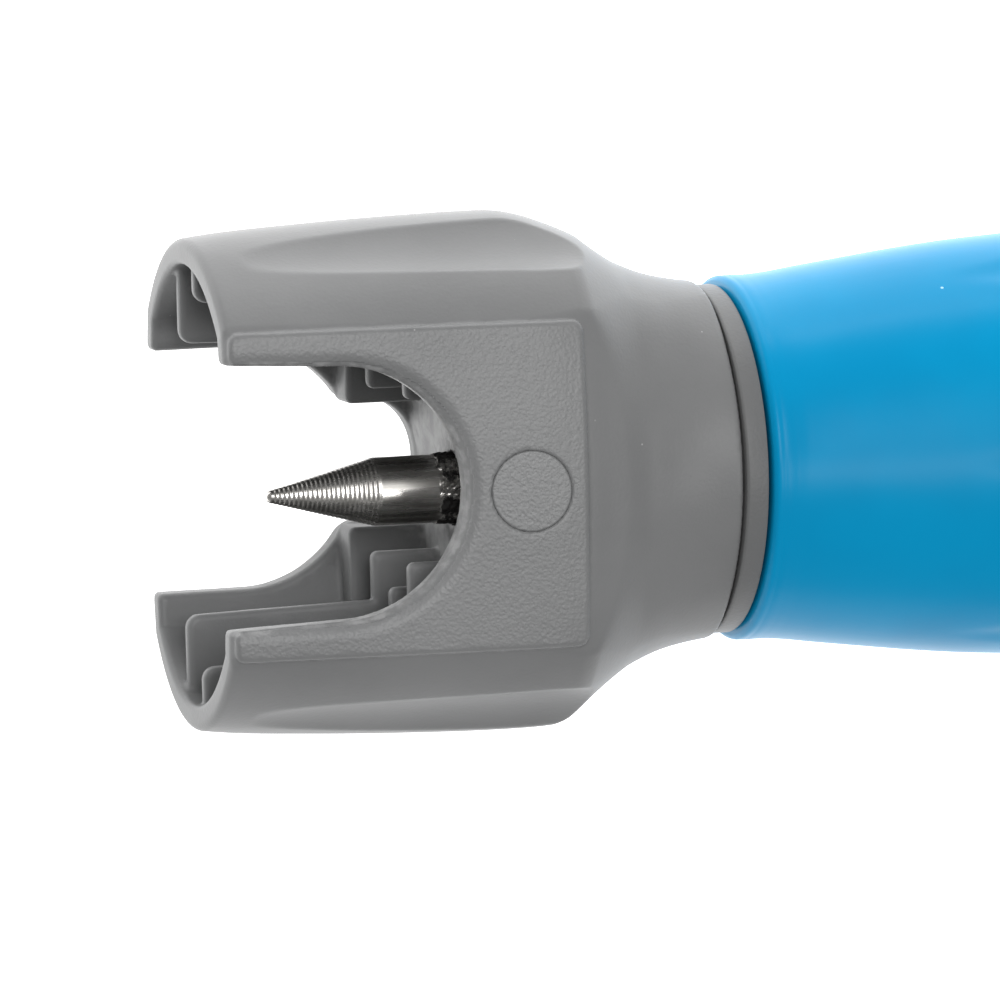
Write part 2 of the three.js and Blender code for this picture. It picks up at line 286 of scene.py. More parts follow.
# Grey moulded nylon. On the head, the "panel" attribute says where the pebble and the sheen are strongest,
# the shade attribute where painted shade darkens the web round the point to near black, and "scuff" where the
# surface is rubbed pale.
def greyMaterial(name, tone=1.0, panelMask=False, strength=0.4, shine=0.22):
    material, nodes, links, shader = newMaterial(name, greyFinish["roughness"], Specular_IOR_Level=shine)
    grainNode = useGroup(nodes, grain, Fine=3400.0, Pebble=4600.0, Pebble_Share=0.9)
    light = tuple(c * tone for c in greyFinish["light"])
    dark = tuple(c * tone for c in greyFinish["dark"])
    tint = rangeNode(nodes, links, grainNode.outputs["Tint"], 0.3, 0.7)
    colour = mixColour(nodes, links, tint, dark, light)
    speckNode = useGroup(nodes, specks, Scale=520.0, Amount=0.035)
    colour = mixColour(nodes, links, speckNode.outputs["Mask"], colour, (0.3, 0.3, 0.3))
    if panelMask:
        attribute = nodes.new("ShaderNodeAttribute")
        attribute.attribute_name = "panel"
        onPanel = attribute.outputs["Fac"]
        depth = rangeNode(nodes, links, onPanel, 0.2, 0.8, 0.22, 1.0)
        height = mathNode(nodes, links, "MULTIPLY", grainNode.outputs["Height"], depth)
        # painted shade: where the point enters the web, the web is darkened to near black
        paintedShadeRing = nodes.new("ShaderNodeAttribute")
        paintedShadeRing.attribute_name = "paintedShadeRing"
        colour = mixColour(nodes, links, paintedShadeRing.outputs["Fac"], colour, (0.012, 0.012, 0.012))
        scuff = nodes.new("ShaderNodeAttribute")
        scuff.attribute_name = "scuff"
        mottled = noiseNode(nodes, links, nodes.new("ShaderNodeTexCoord").outputs["Object"], 900.0, 5.0)
        scuffMask = mathNode(nodes, links, "MULTIPLY", scuff.outputs["Fac"],
                             rangeNode(nodes, links, mottled.outputs["Fac"], 0.35, 0.7))
        colour = mixColour(nodes, links, scuffMask, colour, (0.42, 0.42, 0.42))
        roughness = rangeNode(nodes, links, onPanel, 0.2, 0.8, 0.4, 0.47)
        links.new(roughness, shader.inputs["Roughness"])
        links.new(rangeNode(nodes, links, onPanel, 0.2, 0.8, shine, 0.6), shader.inputs["Specular IOR Level"])
    else:
        height = grainNode.outputs["Height"]
    links.new(colour, shader.inputs["Base Color"])
    links.new(bumpNode(nodes, links, height, greyFinish["grainDepth"], strength), shader.inputs["Normal"])
    return material


blueFinish = {"light": (0.0, 0.262, 0.505), "dark": (0.0, 0.238, 0.468), "speck": (0.35, 0.62, 0.8),
              "roughness": 0.3, "ripple": 0.00012}


def blueMaterial():
    material, nodes, links, shader = newMaterial("blueGrip", blueFinish["roughness"], Specular_IOR_Level=0.1)
    place = nodes.new("ShaderNodeTexCoord").outputs["Object"]
    broad = noiseNode(nodes, links, place, 60.0, 3.0)
    colour = mixColour(nodes, links, rangeNode(nodes, links, broad.outputs["Fac"], 0.35, 0.65),
                       blueFinish["dark"], blueFinish["light"])
    speckNode = useGroup(nodes, specks, Scale=380.0, Amount=0.045)
    colour = mixColour(nodes, links, speckNode.outputs["Mask"], colour, blueFinish["speck"])
    ripple = noiseNode(nodes, links, place, 110.0, 2.0)
    fine = noiseNode(nodes, links, place, 1600.0, 2.0)
    height = mathNode(nodes, links, "MULTIPLY_ADD", fine.outputs["Fac"], 0.06, ripple.outputs["Fac"])
    height = mathNode(nodes, links, "MULTIPLY_ADD", speckNode.outputs["Mask"], 0.15, height)
    links.new(colour, shader.inputs["Base Color"])
    links.new(bumpNode(nodes, links, height, blueFinish["ripple"], 0.5), shader.inputs["Normal"])
    return material


steelFinish = {"bright": (0.68, 0.66, 0.63), "dull": (0.36, 0.35, 0.33), "residue": (0.016, 0.015, 0.014),
               "roughness": 0.24}


# Turned steel: streaks along the axis, and dark residue where the "residue" attribute says.
def steelMaterial(name, residue=False):
    material, nodes, links, shader = newMaterial(name, steelFinish["roughness"], 1.0)
    place = nodes.new("ShaderNodeTexCoord").outputs["Object"]
    stretch = nodes.new("ShaderNodeMapping")
    stretch.inputs["Scale"].default_value = (0.05, 1, 1)
    links.new(place, stretch.inputs["Vector"])
    streaks = noiseNode(nodes, links, stretch.outputs["Vector"], 2600.0, 4.0)
    mask = rangeNode(nodes, links, streaks.outputs["Fac"], 0.35, 0.7)
    colour = mixColour(nodes, links, mask, steelFinish["dull"], steelFinish["bright"])
    rough = rangeNode(nodes, links, streaks.outputs["Fac"], 0.3, 0.75, 0.34, 0.2)
    metal = None
    if residue:
        attribute = nodes.new("ShaderNodeAttribute")
        attribute.attribute_name = "residue"
        clumps = noiseNode(nodes, links, place, 1700.0, 5.0, 0.7)
        edge = mathNode(nodes, links, "ADD", attribute.outputs["Fac"], clumps.outputs["Fac"])
        dirty = rangeNode(nodes, links, edge, 0.95, 1.15)
        colour = mixColour(nodes, links, dirty, colour, steelFinish["residue"])
        metal = rangeNode(nodes, links, edge, 0.95, 1.15, 1.0, 0.2)
        rough = mathNode(nodes, links, "MULTIPLY_ADD", dirty, 0.3, rough)
        lumps = mathNode(nodes, links, "MULTIPLY", clumps.outputs["Fac"], dirty)
        links.new(bumpNode(nodes, links, lumps, 0.0002), shader.inputs["Normal"])
    else:
        links.new(bumpNode(nodes, links, streaks.outputs["Fac"], 0.00002), shader.inputs["Normal"])
    links.new(colour, shader.inputs["Base Color"])
    links.new(rough, shader.inputs["Roughness"])
    if metal is not None:
        links.new(metal, shader.inputs["Metallic"])
    return material


# A plain finish for the small inner pieces: two tones mixed by noise, with a light bump.
def innerMaterial(name, dark, light, roughness, metallic=0.0):
    material, nodes, links, shader = newMaterial(name, roughness, metallic)
    grainNode = useGroup(nodes, grain, Fine=2200.0, Pebble=1200.0, Pebble_Share=0.2)
    tint = rangeNode(nodes, links, grainNode.outputs["Tint"], 0.3, 0.7)
    links.new(mixColour(nodes, links, tint, dark, light), shader.inputs["Base Color"])
    links.new(bumpNode(nodes, links, grainNode.outputs["Height"], 0.00003), shader.inputs["Normal"])
    return material


headGrey = greyMaterial("greyHead", panelMask=True, strength=1.0)
coreGrey = greyMaterial("greyCore", tone=0.8)
plugGrey = greyMaterial("greyPlug", strength=1.0, shine=0.6)
blue = blueMaterial()
pointSteel = steelMaterial("turnedSteel", residue=True)
plainSteel = steelMaterial("plainSteel")
rubber = innerMaterial("blackRubber", (0.012, 0.012, 0.012), (0.03, 0.03, 0.03), 0.6)
acetal = innerMaterial("whiteAcetal", (0.68, 0.67, 0.62), (0.8, 0.79, 0.74), 0.45)
brass = innerMaterial("turnedBrass", (0.5, 0.35, 0.13), (0.7, 0.52, 0.24), 0.3, 1.0)
print("materials ready")


# Head

head = {
    "pitch": 0.21,                 # distance between the samples that the surface is drawn from
    "faceLimit": 185000,
    "halfHeight": [(-42, 16.3), (-38.9, 16.7), (-35.9, 17.08), (-29.9, 17.5), (-22.8, 17.82),
                   (-17, 17.95), (-14, 17.92), (-12, 17.8), (-8, 17.5), (0, 17)],
    "halfDepth": [(-42, 13.8), (-38, 13.9), (-30, 14.0), (-25, 14.15), (-20, 14.4), (-15, 14.8),
                  (-12, 15.0), (-8, 15.0), (0, 15)],
    "neckHeight": [(-22, 25.5), (-16, 20.8), (-13, 18.35), (-12.1, 17.6), (-11, 16.62), (-9.9, 15.72),
                   (-8.8, 14.9), (-7.75, 14.2), (-6.6, 13.65), (-5.6, 13.25), (-3.4, 12.68),
                   (-1.9, 12.45), (1, 12.3)],
    "neckDepth": [(-22, 20.5), (-16, 16.9), (-13, 15.3), (-12.1, 14.85), (-11, 14.3), (-9.9, 13.75),
                  (-8.8, 13.25), (-7.75, 12.8), (-6.6, 12.4), (-5.6, 12.15), (-3.4, 12.05),
                  (-1.9, 12.25), (1, 12.4)],
    "flatDepth": [(-42, 10.75), (-38, 10.95), (-30, 11.25), (-20, 11.75), (-14, 12.1), (-12.4, 12.05),
                  (-11, 11.85), (-8, 11.6), (-5, 11.75), (-2.4, 12.15), (1, 12.4)],
    "crown": [(-42, 86), (-13, 86), (-10, 50), (-6, 22), (-2.4, 12.5), (1, 12.3)],
    "wall": 1.75, "frontEdge": 0.5, "cavityEnd": -15.0, "frontTilt": 0.03,
    "panelHalf": 11.15, "panelFront": -37.45, "farPanelFront": -37.95, "panelRear": -12.85, "panelProud": 0.5,
    "panelCorner": 0.8,
    "mouthHalf": 9.05, "seatRadius": 8.65, "seatCentre": -29.95, "nearRim": 1.05,
    "farRadius": 8.45, "farCentre": -31.5, "slotHalf": 4.2, "slotEnd": -18.8,
    "scallopTurn": 24.3, "scallopRadius": 9.0, "scallopDepth": 1.02,
    "scallopFront": -35.0, "scallopRear": -16.0,
    "webFace": -19.05, "webHalf": 6.6,
    "boreRadius": 7.0, "boreFront": -12.5, "ringAt": -10.1, "grooveRadius": 7.9,
    "washerRadius": 10.5, "washerFront": -2.9, "rear": -1.64,
}
plug = {"radius": 2.78, "rim": 0.16, "rings": 26, "sides": 96, "deep": 1.6}
# Each rib: lowest and highest z, distance from the axis along the jaw, where it steps up, distance after.
ribs = [(-10.5, -7.15, 12.0, -24.6, 4.3), (-4.45, -3.35, 9.0, -24.0, 5.65), (-0.05, 1.05, 12.1, -23.9, 7.7),
        (4.15, 5.25, 12.6, -23.7, 5.6), (7.5, 10.5, 9.6, -23.7, 8.0)]


# Rounded edge between two surfaces: outside both, the distance to the rounding circle of radius r.
def roundBoth(a, b, r):
    return np.minimum(np.maximum(a, b), -r) + np.hypot(np.maximum(a + r, 0), np.maximum(b + r, 0))


# Rounded corner where two solids join: the fillet circle of radius r.
def roundEither(a, b, r):
    return np.maximum(np.minimum(a, b), r) - np.hypot(np.maximum(r - a, 0), np.maximum(r - b, 0))


# Signed distance to a rectangle with rounded corners.
def rectangle(x, y, low, high, halfY, corner=0.3):
    dx = np.abs(x - (low + high) / 2) - (high - low) / 2 + corner
    dy = np.abs(y) - halfY + corner
    return np.hypot(np.maximum(dx, 0), np.maximum(dy, 0)) + np.minimum(np.maximum(dx, dy), 0) - corner


# Rises smoothly from 0 to 1 between two values.
def smoothStep(low, high, x):
    t = np.clip((x - low) / (high - low), 0, 1)
    return t * t * (3 - 2 * t)


# Values that depend only on s are worked out once for each s.
def alongS(name, s, shift=0.0):
    column = s[:, :1, :1] if np.ndim(s) == 3 else s
    return smoothCurve(head[name], column + shift)


# Signed distance to an oval tube: the scaled radius less one, over the slope of that scaled radius.
def ovalDistance(s, y, z, heights, depths):
    halfY = alongS(heights, s)
    halfZ = alongS(depths, s)
    taper = (alongS(heights, s, 0.1) - alongS(heights, s, -0.1)) / 0.2
    scaled = np.hypot(y / halfY, z / halfZ)
    gradient = np.hypot(y / halfY ** 2, z / halfZ ** 2) + 1e-6
    return (scaled - 1) * scaled / gradient / np.sqrt(1 + taper ** 2)


# Depth of the crowned flank at (s, y): the flank's depth less y squared over twice the crown's radius.
def flankDepth(s, y):
    return alongS("flatDepth", s) - y * y / 2 / alongS("crown", s)


# Distance inside the near saddle: the round end, and sides that open a little toward the mouth.
def nearSaddle(s, y, spread=0.0):
    ahead = np.clip((head["seatCentre"] - s) / 9, 0, 1.3)
    side = head["seatRadius"] + spread + (head["mouthHalf"] - head["seatRadius"]) * ahead
    straight = np.abs(y) - side
    circle = np.hypot(s - head["seatCentre"], y) - head["seatRadius"] - spread
    return np.where(s < head["seatCentre"], straight, circle)


# Distance inside the far saddle, joined to the slot that runs on from its middle.
def farSaddle(s, y):
    circle = np.where(s < head["farCentre"], np.abs(y) - head["farRadius"],
                      np.hypot(s - head["farCentre"], y) - head["farRadius"])
    endS = head["slotEnd"] - 3.2
    oval = np.hypot((s - endS) / 3.2, y / head["slotHalf"])
    slot = np.where(s < endS, np.abs(y) - head["slotHalf"], (oval - 1) * 3.4)
    return roundEither(circle, slot, 0.8)


# One rib: a slab that keeps away from the axis, by less after its step.
def ribDistance(s, y, z, skin, rib):
    low, high, edge, stepAt, raised = rib
    slab = np.abs(z - (low + high) / 2) - (high - low) / 2
    along = edge + (s - stepAt) * -0.03 - np.abs(y)
    step = roundBoth(raised - np.abs(y), stepAt - s, 0.5)
    outline = np.minimum(along, step)
    front = headFront + 0.7 - s
    profile = roundBoth(outline, front, 0.9)
    return np.maximum(roundBoth(slab, profile, 0.35), skin)


# Scallops: a cylinder laid along each shoulder of the barrel, sinking in toward the rear.
def scallopDistance(s, y, z):
    turn = math.radians(head["scallopTurn"])
    row = np.minimum(s[:, :1, :1], -14.5)
    halfY = smoothCurve(head["halfHeight"], row)
    halfZ = smoothCurve(head["halfDepth"], row)
    normal = np.stack([math.cos(turn) / halfY, math.sin(turn) / halfZ])
    normal = normal / np.linalg.norm(normal, axis=0)
    reach = np.clip((row - head["scallopFront"]) / (head["scallopRear"] - head["scallopFront"]), 0, 1.05)
    away = head["scallopRadius"] - head["scallopDepth"] * reach ** 0.65 + 3 * (row < head["scallopFront"])
    centreY = halfY * math.cos(turn) + normal[0] * away
    centreZ = halfZ * math.sin(turn) + normal[1] * away
    return np.hypot(np.abs(y) - centreY, np.abs(z) - centreZ) - head["scallopRadius"]


def headDistance(s, y, z):
    flank = np.abs(z) - flankDepth(s, y)
    barrel = ovalDistance(s, y, z, "halfHeight", "halfDepth")
    neck = ovalDistance(s, y, z, "neckHeight", "neckDepth")
    # the shoulder is rounded over the top, and crisp down the sides and below
    softness = 0.4 + 2.2 * smoothStep(14.2, 17.2, y)
    outer = roundBoth(barrel, neck, softness)
    outside = roundBoth(outer, -scallopDistance(s, y, z), 0.08)
    outside = np.maximum(np.minimum(outside, outer + 2), outer)
    flankBlend = 0.12 + 2.4 * smoothStep(-12.5, -8, s)
    outside = roundBoth(outside, flank, flankBlend)
    outer = np.maximum(outer, flank)
    skin = np.maximum(outer + 0.7, outside + 0.45)
    # raised flank panels with rounded rims
    panelFront = np.where(z > 0, head["panelFront"], head["farPanelFront"])
    panelPlan = rectangle(s, y, panelFront, head["panelRear"], head["panelHalf"], head["panelCorner"])
    panel = roundBoth(flank - head["panelProud"], panelPlan, 0.3)
    outside = roundEither(outside, np.maximum(panel, 5 - np.abs(z)), 0.1)
    # front face and hollow
    face = headFront + head["frontTilt"] * np.maximum(z, 0)
    body = roundBoth(outside, face - s, head["frontEdge"])
    hollow = roundBoth(outer + head["wall"], s - head["cavityEnd"], 1.0)
    body = roundBoth(body, -hollow, 0.4)
    # saddles through both flanks; the near cut face keeps fine steps
    steps = 0.1 * (z > 10.9) + 0.09 * (z > 11.4)
    nearCut = nearSaddle(s, y, steps)
    nearEdge = np.clip((z - 10.2) / 1.0, 0, 1) * (head["nearRim"] - 0.3) + 0.3
    body = np.where(z > 0, roundBoth(body, -nearCut, nearEdge), roundBoth(body, -farSaddle(s, y), 0.45))
    # ribs and the web that the point stands in, held under the skin of the barrel and of the scallops
    for rib in ribs:
        body = roundEither(body, ribDistance(s, y, z, skin, rib), 0.3)
    web = np.maximum(np.maximum(head["webFace"] - s, np.abs(y) - head["webHalf"]),
                     np.maximum(-3.9 - z, skin))
    boss = np.maximum(np.maximum(head["slotEnd"] - 0.4 - s, np.abs(y) - head["webHalf"]), skin)
    boss = np.where(z < 0, roundBoth(boss, -farSaddle(s, y), 0.3), boss)
    body = roundEither(body, np.minimum(web, boss), 0.25)
    return swivelCuts(body, s, y, z)


# Bores: steel point, dowel, round plug, and the swivel's bore with its ring groove and washer recess.
def swivelCuts(body, s, y, z):
    rear = head["rear"]
    body = roundBoth(body, s - rear, 0.2)
    pinBore = np.maximum(np.hypot(y - pinY, z) - 2.56, s + 13.5)
    body = roundBoth(body, -np.maximum(pinBore, -s - 30), 0.12)
    across = np.hypot(s - plugS, y - plugY)
    plugBore = np.maximum(across - plug["radius"] + 0.02, 10.05 - z)
    body = roundBoth(body, -plugBore, 0.1)
    body = np.maximum(body, -np.maximum(across - 1.3, np.maximum(z - 10.2, -7.8 - z)))
    around = np.hypot(y, z)
    bore = np.maximum(around - head["boreRadius"], head["boreFront"] - s)
    groove = np.maximum(around - head["grooveRadius"], np.abs(s - head["ringAt"]) - 0.8)
    recess = np.maximum(around - head["washerRadius"], head["washerFront"] - s)
    return np.maximum(body, -np.minimum(np.minimum(bore, groove), recess))


# Surface through a sampled distance: one point per cell that the surface crosses, at the mean of the
# crossings on its edges, then one quad round every crossed edge.
def surfaceOf(values, axes):
    inside = values < 0
    shape = np.array(values.shape) - 1
    total = np.zeros((*shape, 3), np.float32)
    count = np.zeros(shape, np.float32)
    for axis in range(3):
        others = [k for k in range(3) if k != axis]
        for first in (0, 1):
            for second in (0, 1):
                cut = [slice(None)] * 3
                cut[axis] = slice(0, -1)
                cut[others[0]] = slice(first, shape[others[0]] + first)
                cut[others[1]] = slice(second, shape[others[1]] + second)
                low = values[tuple(cut)]
                cut[axis] = slice(1, None)
                high = values[tuple(cut)]
                crossed = (low < 0) != (high < 0)
                part = np.where(crossed, low / np.where(crossed, low - high, 1), 0)
                total[..., axis] += part
                total[..., others[0]] += first * crossed
                total[..., others[1]] += second * crossed
                count += crossed
    used = count > 0
    index = np.full(shape, -1, np.int64)
    index[used] = np.arange(used.sum())
    cells = np.argwhere(used)
    local = total[used] / count[used][:, None] + cells
    pitches = [axis[1] - axis[0] for axis in axes]
    starts = [axis[0] for axis in axes]
    points = local * pitches + starts
    quads = []
    for axis in range(3):
        others = [k for k in range(3) if k != axis]
        cut = [slice(1, -1)] * 3
        cut[axis] = slice(0, -1)
        low = inside[tuple(cut)]
        cut[axis] = slice(1, None)
        high = inside[tuple(cut)]
        edges = np.argwhere(low != high)
        outward = low[tuple(edges.T)]
        base = edges.copy()
        base[:, others[0]] += 1
        base[:, others[1]] += 1
        corners = []
        for first, second in ((1, 1), (0, 1), (0, 0), (1, 0)):
            cell = base.copy()
            cell[:, others[0]] -= first
            cell[:, others[1]] -= second
            corners.append(index[tuple(cell.T)])
        quad = np.stack(corners, -1)
        flip = outward if axis != 1 else ~outward
        quads.append(np.where(flip[:, None], quad, quad[:, ::-1]))
    return points, np.vstack(quads)


# Moves points onto the surface: one Newton step along the distance's gradient, capped at half a pitch.
def settle(points, pitch):
    s, y, z = (points[:, k].reshape(-1, 1, 1) for k in range(3))
    here = headDistance(s, y, z).ravel()
    step = 0.03
    rises = [headDistance(s + step, y, z) - headDistance(s - step, y, z),
             headDistance(s, y + step, z) - headDistance(s, y - step, z),
             headDistance(s, y, z + step) - headDistance(s, y, z - step)]
    slope = np.stack([rise.ravel() for rise in rises], -1) / 2 / step
    steep = np.maximum((slope ** 2).sum(1), 0.3)
    move = np.clip(here / steep, -pitch / 2, pitch / 2)
    return points - slope * move[:, None]


def addAttribute(piece, name, values):
    attribute = piece.data.attributes.new(name, "FLOAT", "POINT")
    attribute.data.foreach_set("value", np.asarray(values, np.float32))


def pointsOf(piece):
    flat = np.zeros(len(piece.data.vertices) * 3)
    piece.data.vertices.foreach_get("co", flat)
    points = flat.reshape(-1, 3) / mm
    points[:, 0] -= seamX
    return points


def finishModifier(piece, modifier):
    bpy.context.view_layer.objects.active = piece
    piece.select_set(True)
    bpy.ops.object.modifier_apply(modifier=modifier.name)
    piece.select_set(False)


def buildHead():
    pitch = head["pitch"] * 1
    margin = 1.2
    low = [headBox[0].x - seamX - margin, headBox[0].y - margin, headBox[0].z - margin]
    high = [headBox[1].x - seamX + margin, headBox[1].y + margin, headBox[1].z + margin]
    axes = [np.arange(a, b, pitch) for a, b in zip(low, high)]
    s, y, z = np.meshgrid(*axes, indexing="ij")
    values = headDistance(s, y, z).astype(np.float32)
    points, faces = surfaceOf(values, axes)
    points = settle(points, pitch)
    piece = makePiece("forkedHead", points, faces, headGrey, "head", ["saddle_head"])
    triangles = len(faces) * 2
    if triangles > head["faceLimit"]:
        thin = piece.modifiers.new("thin", "DECIMATE")
        thin.ratio = head["faceLimit"] / triangles
        finishModifier(piece, thin)
    piece.data.polygons.foreach_set("use_smooth", np.ones(len(piece.data.polygons), bool))
    paintHead(piece)
    return piece


# Masks on the head: the panels' grain, painted shade round the point's base on the web, and the scuffed web
# and cut faces.
def paintHead(piece):
    s, y, z = pointsOf(piece).T
    panelPlan = rectangle(s, y, head["panelFront"], head["panelRear"], head["panelHalf"], head["panelCorner"])
    onFlank = np.abs(z) > flankDepth(s, y) + head["panelProud"] - 0.35
    addAttribute(piece, "panel", np.clip(-panelPlan / 0.5, 0, 1) * onFlank)
    away = np.hypot(y - pinY, z)
    onWeb = (np.abs(s - head["webFace"]) < 0.8) & (np.abs(y) < 8) & (np.abs(z) < 10)
    # painted shade: a near-black ring on the web face round the point's base, fading out about 4.25 mm from
    # its axis
    paintedShadeRing = np.clip(1.35 - (away - 2.5) / 1.3, 0, 1) * onWeb
    addAttribute(piece, "paintedShadeRing", paintedShadeRing * 0.85)
    cutFace = (np.abs(nearSaddle(s, y)) < 0.3) & (z > 8.5) & (z < 11.9)
    addAttribute(piece, "scuff", np.where(onWeb | cutFace, 0.4, 0.0))


headPiece = buildHead()
print("head:", len(headPiece.data.polygons), "faces")


# Steel point

point = {"tipRound": 0.34, "coneEnd": -24.7, "knurlFront": -20.6, "radius": 2.36, "knurlRadius": 2.47,
         "ringPitch": 0.31, "ringDepth": 0.018, "lobes": 15, "lobeDepth": 0.2, "sides": 180, "steps": 420}


# The point's radius along s: a round tip, a straight cone with fine turning rings, and a plain shank.
# The knurl adds lobes round the shank, torn a little by sums of sines.
def pointShape(s, radius, turn):
    tip = pinBox[0].x - seamX
    along = s - tip
    cone = np.clip(along / (point["coneEnd"] - tip), 0, 1)
    r = point["tipRound"] + (point["radius"] - point["tipRound"]) * cone
    rings = point["ringDepth"] * np.sin(2 * math.pi * along / point["ringPitch"])
    r = r + rings * np.clip(along / 0.8, 0, 1) * (s < point["coneEnd"] - 0.1)
    dome = np.sqrt(np.clip(1 - (1 - along / point["tipRound"]) ** 2, 0, 1))
    r = np.where(along < point["tipRound"], r * dome, r)
    inKnurl = np.clip((s - point["knurlFront"] + 0.05 * np.sin(9 * turn)) / 0.25, 0, 1)
    lobes = 0.5 + 0.5 * np.cos(point["lobes"] * turn + 0.5 * np.sin(3 * turn) + 0.35 * np.sin(s * 3.1))
    torn = 0.06 * np.sin(31 * turn + 5 * s) * np.sin(7 * s + 2 * np.sin(5 * turn))
    knurl = point["knurlRadius"] - point["lobeDepth"] * (1 - lobes ** 0.7) + torn
    r = r + (knurl - r) * inKnurl
    return s, pinY + r * np.cos(turn), r * np.sin(turn)


def buildPoint():
    tip, rear = pinBox[0].x - seamX, pinBox[1].x - seamX
    tipSteps = tip + point["tipRound"] * (1 - np.cos(np.linspace(0.15, 1.5, 12)))
    s = np.concatenate([[tip], tipSteps, np.linspace(tipSteps[-1] + 0.03, rear, point["steps"]), [rear]])
    path = np.stack([s, np.ones_like(s)], -1)
    points, faces = turnedSolid(path, point["sides"], pointShape)
    points[-2:, 1] = pinY
    piece = makePiece("steelPoint", points, faces, pointSteel, "head", ["punch_pin"])
    s, y, z = pointsOf(piece).T
    turn = np.arctan2(z, y - pinY)
    patches = 0.12 * np.sin(3 * turn + 1) + 0.1 * np.sin(7 * turn)
    shank = np.clip((s - point["knurlFront"] + 0.2) / 0.5, 0, 1)
    addAttribute(piece, "residue", shank * (0.5 + patches) + 0.1 * (s > point["coneEnd"]))
    return piece


pointPiece = buildPoint()
print("point:", len(pointPiece.data.polygons), "faces")


# Round plug over the dowel, a disc that follows the flank's curve. At (share of radius, angle) its height
# is the panel's surface there, less the rim's rounding.
def buildPlug():
    flat = np.linspace(0, 0.93, plug["rings"])
    share = np.concatenate([flat, 1 - 0.07 * np.cos(np.linspace(0.3, math.pi / 2, 8))])
    turn = np.arange(plug["sides"]) * 2 * math.pi / plug["sides"]
    r = (share * plug["radius"])[1:, None]
    s, y = plugS + r * np.cos(turn), plugY + r * np.sin(turn)
    height = flankDepth(s, y) + head["panelProud"]
    inset = np.clip(r - (plug["radius"] - plug["rim"]), 0, None)
    height = height - plug["rim"] + np.sqrt(np.clip(plug["rim"] ** 2 - inset ** 2, 0, None)) - 0.015
    top = np.stack([s, y, height], -1).reshape(-1, 3)
    low = top[-plug["sides"]:].copy()
    low[:, 2] = height.min() - plug["deep"]
    centreHeight = flankDepth(np.array(plugS), plugY) + head["panelProud"] - 0.015
    middle = [[plugS, plugY, float(centreHeight)], [plugS, plugY, low[0, 2]]]
    points = np.vstack([top, low, middle])
    rows = len(share)
    faces = gridFaces(rows, plug["sides"]).tolist()
    first = len(points) - 2
    for j in range(plug["sides"]):
        k = (j + 1) % plug["sides"]
        faces.append([first, j, k])
        faces.append([first + 1, (rows - 1) * plug["sides"] + k, (rows - 1) * plug["sides"] + j])
    return makePiece("roundPlug", points, faces, plugGrey, "head", ["dowel_plug"])


buildPlug()
print("plug ready")


# Handle core with its visible collar

core = {"sides": 160, "collar": 12.1, "collarFront": -1.6, "lipFront": -1.52, "journal": 6.7,
        "spine": 9.2, "flat": 8.0, "ringFloor": 5.9, "sealAt": -5.8, "sealFloor": 4.8,
        "insert": 3.5, "insertFront": 79.7, "screwHole": 2.0, "screwEnd": 70.0}


# The spine is round with two flats: its y is held to the flat's distance.
def spineShape(s, radius, turn):
    y = radius * np.cos(turn)
    z = radius * np.sin(turn)
    onSpine = (s > 0.1) & (radius > 5)
    return s, np.where(onSpine, np.clip(y, -core["flat"], core["flat"]), y), z


def buildCore():
    end = coreBox[1].x - seamX
    front = coreBox[0].x - seamX
    journal, collar, spine = core["journal"], core["collar"], core["spine"]
    ringAt, sealAt = head["ringAt"], core["sealAt"]
    insert, screw = core["insert"], core["screwHole"]
    outline = [(front, 0.01), (front, journal - 0.4), (front + 0.4, journal),
               (ringAt - 0.8, journal), (ringAt - 0.8, core["ringFloor"]), (ringAt + 0.8, core["ringFloor"]),
               (ringAt + 0.8, journal), (sealAt - 0.95, journal), (sealAt - 0.95, core["sealFloor"]),
               (sealAt + 0.95, core["sealFloor"]), (sealAt + 0.95, journal), (core["collarFront"], journal),
               (core["collarFront"], collar - 1.2), (core["lipFront"], collar - 0.9),
               (core["lipFront"], collar - 0.15), (core["lipFront"] + 0.15, collar),
               (0.0, collar), (0.05, spine), (end, spine), (end, insert), (core["insertFront"], insert),
               (core["insertFront"], screw), (core["screwEnd"], screw), (core["screwEnd"], 0.01)]
    path = outlinePath(outline, 1.2, 0.08)
    points, faces = revolve(path, core["sides"], spineShape)
    return makePiece("innerHandle", points, faces, coreGrey, "handle", ["handle_core"])


buildCore()
print("core ready")


# Blue grip

grip = {
    "halfHeight": [(0.3, 12.3), (0.45, 12.5), (1.1, 12.66), (2.0, 12.66), (2.7, 12.67), (3.3, 12.71),
                   (4.2, 12.8), (6, 13.06), (9.7, 13.56), (13.4, 14.04), (17, 14.42), (20.6, 14.68),
                   (26, 15.02), (33, 15.25), (40, 15.25), (50, 15.0), (64, 14.5), (78, 14.5),
                   (90, 15.1), (98, 15.4), (102, 15.3)],
    "halfDepth": [(0.3, 12.3), (0.45, 12.5), (1.1, 12.66), (2.0, 12.66), (2.7, 12.65), (3.3, 12.67),
                  (6, 12.8), (9.7, 13.0), (13.4, 13.2), (17, 13.35), (26, 13.55), (38, 13.6), (50, 13.4),
                  (64, 13.1), (78, 13.0), (90, 13.2), (98, 13.3), (102, 13.2)],
    "flutes": 6, "fluteDepth": 0.42, "fluteWidth": 14.0, "fluteFront": 14.0, "fluteRear": 88.0,
    "bore": 9.5, "boreRear": 90.3, "flat": 8.3, "screwHole": 2.1,
    "pocket": 10.2, "pocketFront": 93.0, "edge": 0.5, "sides": 240,
}


